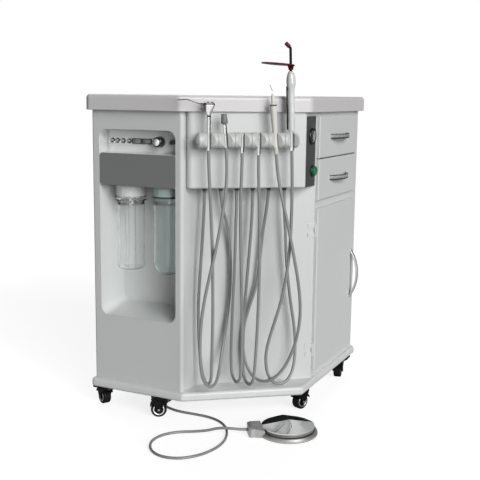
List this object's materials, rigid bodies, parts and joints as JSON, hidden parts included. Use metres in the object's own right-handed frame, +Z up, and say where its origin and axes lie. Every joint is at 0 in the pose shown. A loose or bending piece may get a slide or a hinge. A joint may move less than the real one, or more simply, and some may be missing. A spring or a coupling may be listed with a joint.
{
  "type": "portable dental unit",
  "caption": "Wheeled dental cabinet with bottle alcove, slanted instrument bar with hoses, drawers, a cupboard door, tray top and foot pedal.",
  "frame": {"origin": "on the floor, in the middle of the plan box of everything but the hoses", "axes": "+Z up; the bottle alcove faces -Y, the drawers and door face +X, the instrument bar faces between them"},
  "size_m": [0.6346, 0.845, 0.9681],
  "materials": {
    "body_panel": "satin",
    "moulding": "satin",
    "dark_plate": "matte",
    "black_fitting": "gloss",
    "green_cap": "gloss",
    "needle": "satin",
    "bar": "satin",
    "chrome_metal": "polished",
    "ivory_plastic": "satin",
    "white_plastic": "gloss",
    "red_shield": "gloss",
    "hose_grey": "satin",
    "gland_rubber": "matte",
    "liner": "satin",
    "cap_white": "satin",
    "clear_plastic": "gloss",
    "teal_plastic": "gloss",
    "steel": "brushed",
    "handle_metal": "satin",
    "cover_plastic": "satin",
    "machine_paint": "satin",
    "caster_black": "gloss",
    "wheel_rubber": "satin",
    "pedal_grey": "satin"
  },
  "bodies": {
    "cabinet": {"cabinet_shell": "body_panel", "inner_panels": "body_panel", "base_plinth": "moulding", "worktop": "moulding", "instrument_apron": "moulding", "panel_plates": "dark_plate", "panel_fittings": "black_fitting", "instrument_holders": "bar", "hose_syringe": "hose_grey", "hose_motor": "hose_grey", "hose_turbine_a": "hose_grey", "hose_turbine_b": "hose_grey", "hose_scaler": "hose_grey", "hose_light": "hose_grey", "hose_pedal": "hose_grey", "hose_glands": "gland_rubber", "alcove_liner": "liner", "bottle_caps": "cap_white", "steel_fittings": "steel", "back_cover": "cover_plastic", "compressor": "machine_paint", "caster_plates": "steel", "pedal_base": "pedal_grey"},
    "drawer_upper": {"drawer_upper": "body_panel", "drawer_upper_handle": "handle_metal"},
    "drawer_lower": {"drawer_lower": "body_panel", "drawer_lower_handle": "handle_metal"},
    "door": {"door": "body_panel", "door_handle": "handle_metal"},
    "pedal_plate": {"pedal_plate": "chrome_metal"},
    "power_button": {"power_button": "green_cap"},
    "gauge_needle": {"gauge_needle": "needle"},
    "regulator_knob": {"regulator_knob": "black_fitting"},
    "water_bottle": {"water_bottle": "clear_plastic"},
    "waste_bottle": {"waste_bottle": "teal_plastic"},
    "syringe": {"syringe": "chrome_metal"},
    "air_button": {"air_button": "chrome_metal"},
    "water_button": {"water_button": "chrome_metal"},
    "motor_coupling": {"motor_coupling": "chrome_metal"},
    "turbine_connector_a": {"turbine_connector_a": "chrome_metal"},
    "turbine_connector_b": {"turbine_connector_b": "chrome_metal"},
    "scaler": {"scaler": "ivory_plastic"},
    "curing_light": {"curing_light": "white_plastic"},
    "light_shield": {"light_shield": "red_shield"},
    "toggle_1": {"toggle_1": "chrome_metal"},
    "toggle_2": {"toggle_2": "chrome_metal"},
    "toggle_3": {"toggle_3": "chrome_metal"},
    "toggle_4": {"toggle_4": "chrome_metal"},
    "rocker_1": {"rocker_1": "black_fitting"},
    "rocker_2": {"rocker_2": "black_fitting"},
    "caster_fork_left": {"caster_fork_left": "caster_black"},
    "caster_wheel_left": {"caster_wheel_left": "wheel_rubber"},
    "caster_fork_post": {"caster_fork_post": "caster_black"},
    "caster_wheel_post": {"caster_wheel_post": "wheel_rubber"},
    "caster_fork_corner": {"caster_fork_corner": "caster_black"},
    "caster_wheel_corner": {"caster_wheel_corner": "wheel_rubber"},
    "caster_fork_rear_right": {"caster_fork_rear_right": "caster_black"},
    "caster_wheel_rear_right": {"caster_wheel_rear_right": "wheel_rubber"},
    "caster_fork_rear_left": {"caster_fork_rear_left": "caster_black"},
    "caster_wheel_rear_left": {"caster_wheel_rear_left": "wheel_rubber"}
  },
  "joints": [
    {"name": "drawer_upper_slide", "type": "slide", "parent": "cabinet", "child": "drawer_upper", "axis": [1, 0, 0], "range_m": [0, 0.24]},
    {"name": "drawer_lower_slide", "type": "slide", "parent": "cabinet", "child": "drawer_lower", "axis": [1, 0, 0], "range_m": [0, 0.24]},
    {"name": "door_hinge", "type": "hinge", "parent": "cabinet", "child": "door", "pos_m": [0.22632, -0.03068, 0.324], "axis": [0, 0, -1], "range_deg": [0, 110]},
    {"name": "swivel_left", "type": "hinge", "parent": "cabinet", "child": "caster_fork_left", "pos_m": [-0.27568, -0.27078, 0.0495], "axis": [0, 0, 1], "continuous": true},
    {"name": "wheel_spin_left", "type": "hinge", "parent": "caster_fork_left", "child": "caster_wheel_left", "pos_m": [-0.28925, -0.2623, 0.021], "axis": [-0.5299, -0.848, 0], "continuous": true},
    {"name": "swivel_post", "type": "hinge", "parent": "cabinet", "child": "caster_fork_post", "pos_m": [-0.09168, -0.27278, 0.0495], "axis": [0, 0, 1], "continuous": true},
    {"name": "wheel_spin_post", "type": "hinge", "parent": "caster_fork_post", "child": "caster_wheel_post", "pos_m": [-0.10567, -0.28054, 0.021], "axis": [0.4848, -0.8746, 0], "continuous": true},
    {"name": "swivel_corner", "type": "hinge", "parent": "cabinet", "child": "caster_fork_corner", "pos_m": [0.19852, -0.06938, 0.0495], "axis": [0, 0, 1], "continuous": true},
    {"name": "wheel_spin_corner", "type": "hinge", "parent": "caster_fork_corner", "child": "caster_wheel_corner", "pos_m": [0.20452, -0.05454, 0.021], "axis": [-0.9272, 0.3746, 0], "continuous": true},
    {"name": "swivel_rear_right", "type": "hinge", "parent": "cabinet", "child": "caster_fork_rear_right", "pos_m": [0.20352, 0.26622, 0.0495], "axis": [0, 0, 1], "continuous": true},
    {"name": "wheel_spin_rear_right", "type": "hinge", "parent": "caster_fork_rear_right", "child": "caster_wheel_rear_right", "pos_m": [0.20685, 0.25057, 0.021], "axis": [0.9781, 0.2079, 0], "continuous": true},
    {"name": "swivel_rear_left", "type": "hinge", "parent": "cabinet", "child": "caster_fork_rear_left", "pos_m": [-0.27268, 0.27822, 0.0495], "axis": [0, 0, 1], "continuous": true},
    {"name": "wheel_spin_rear_left", "type": "hinge", "parent": "caster_fork_rear_left", "child": "caster_wheel_rear_left", "pos_m": [-0.26305, 0.291, 0.021], "axis": [-0.7986, 0.6018, 0], "continuous": true},
    {"name": "pedal_press", "type": "slide", "parent": "cabinet", "child": "pedal_plate", "axis": [0, 0, -1], "range_m": [0, 0.005], "stiffness_N_per_m": 4000, "springref_m": -0.006},
    {"name": "power_press", "type": "slide", "parent": "cabinet", "child": "power_button", "axis": [-1, 0, 0], "range_m": [0, 0.003], "stiffness_N_per_m": 700, "springref_m": -0.002},
    {"name": "air_press", "type": "slide", "parent": "syringe", "child": "air_button", "axis": [0, 0, -1], "range_m": [0, 0.0015], "stiffness_N_per_m": 500, "springref_m": -0.001},
    {"name": "water_press", "type": "slide", "parent": "syringe", "child": "water_button", "axis": [0, 0, -1], "range_m": [0, 0.0015], "stiffness_N_per_m": 500, "springref_m": -0.001},
    {"name": "needle_turn", "type": "hinge", "parent": "cabinet", "child": "gauge_needle", "pos_m": [0.22352, -0.06438, 0.737], "axis": [-1, 0, 0], "range_deg": [0, 240], "stiffness_Nm_per_rad": 0.002, "springref_deg": -17.19},
    {"name": "toggle_1_flip", "type": "hinge", "parent": "cabinet", "child": "toggle_1", "pos_m": [-0.25266, -0.26478, 0.72], "axis": [-1, 0, 0], "range_deg": [0, 28]},
    {"name": "toggle_2_flip", "type": "hinge", "parent": "cabinet", "child": "toggle_2", "pos_m": [-0.23774, -0.26478, 0.72], "axis": [-1, 0, 0], "range_deg": [0, 28]},
    {"name": "toggle_3_flip", "type": "hinge", "parent": "cabinet", "child": "toggle_3", "pos_m": [-0.22057, -0.26478, 0.72], "axis": [-1, 0, 0], "range_deg": [0, 28]},
    {"name": "toggle_4_flip", "type": "hinge", "parent": "cabinet", "child": "toggle_4", "pos_m": [-0.20226, -0.26478, 0.72], "axis": [-1, 0, 0], "range_deg": [0, 28]},
    {"name": "rocker_1_rock", "type": "hinge", "parent": "cabinet", "child": "rocker_1", "pos_m": [-0.17921, -0.26098, 0.72], "axis": [0, 0, 1], "range_deg": [0, 12]},
    {"name": "rocker_2_rock", "type": "hinge", "parent": "cabinet", "child": "rocker_2", "pos_m": [-0.14915, -0.26098, 0.72], "axis": [0, 0, 1], "range_deg": [0, 12]},
    {"name": "regulator_turn", "type": "hinge", "parent": "cabinet", "child": "regulator_knob", "pos_m": [-0.10757, -0.25978, 0.72], "axis": [0, -1, 0], "range_deg": [-150, 150]},
    {"name": "water_bottle_unscrew", "type": "hinge", "parent": "cabinet", "child": "water_bottle", "pos_m": [-0.21168, -0.24178, 0.59], "axis": [0, 0, 1], "range_deg": [0, 300]},
    {"name": "waste_bottle_unscrew", "type": "hinge", "parent": "cabinet", "child": "waste_bottle", "pos_m": [-0.10068, -0.24178, 0.59], "axis": [0, 0, 1], "range_deg": [0, 300]},
    {"name": "syringe_lift", "type": "slide", "parent": "cabinet", "child": "syringe", "axis": [0, 0, 1], "range_m": [0, 0.08]},
    {"name": "motor_coupling_lift", "type": "slide", "parent": "cabinet", "child": "motor_coupling", "axis": [-0.0586, -0.0439, 0.9973], "range_m": [0, 0.08]},
    {"name": "turbine_connector_a_lift", "type": "slide", "parent": "cabinet", "child": "turbine_connector_a", "axis": [0, 0, 1], "range_m": [0, 0.08]},
    {"name": "turbine_connector_b_lift", "type": "slide", "parent": "cabinet", "child": "turbine_connector_b", "axis": [0, 0, 1], "range_m": [0, 0.08]},
    {"name": "scaler_lift", "type": "slide", "parent": "cabinet", "child": "scaler", "axis": [-0.0656, -0.0492, 0.9966], "range_m": [0, 0.045]},
    {"name": "curing_light_lift", "type": "slide", "parent": "cabinet", "child": "curing_light", "axis": [-0.0279, -0.0209, 0.9994], "range_m": [0, 0.08]},
    {"name": "shield_turn", "type": "hinge", "parent": "curing_light", "child": "light_shield", "pos_m": [0.20224, -0.16384, 0.90489], "axis": [-0.0279, -0.0209, 0.9994], "continuous": true}
  ]
}
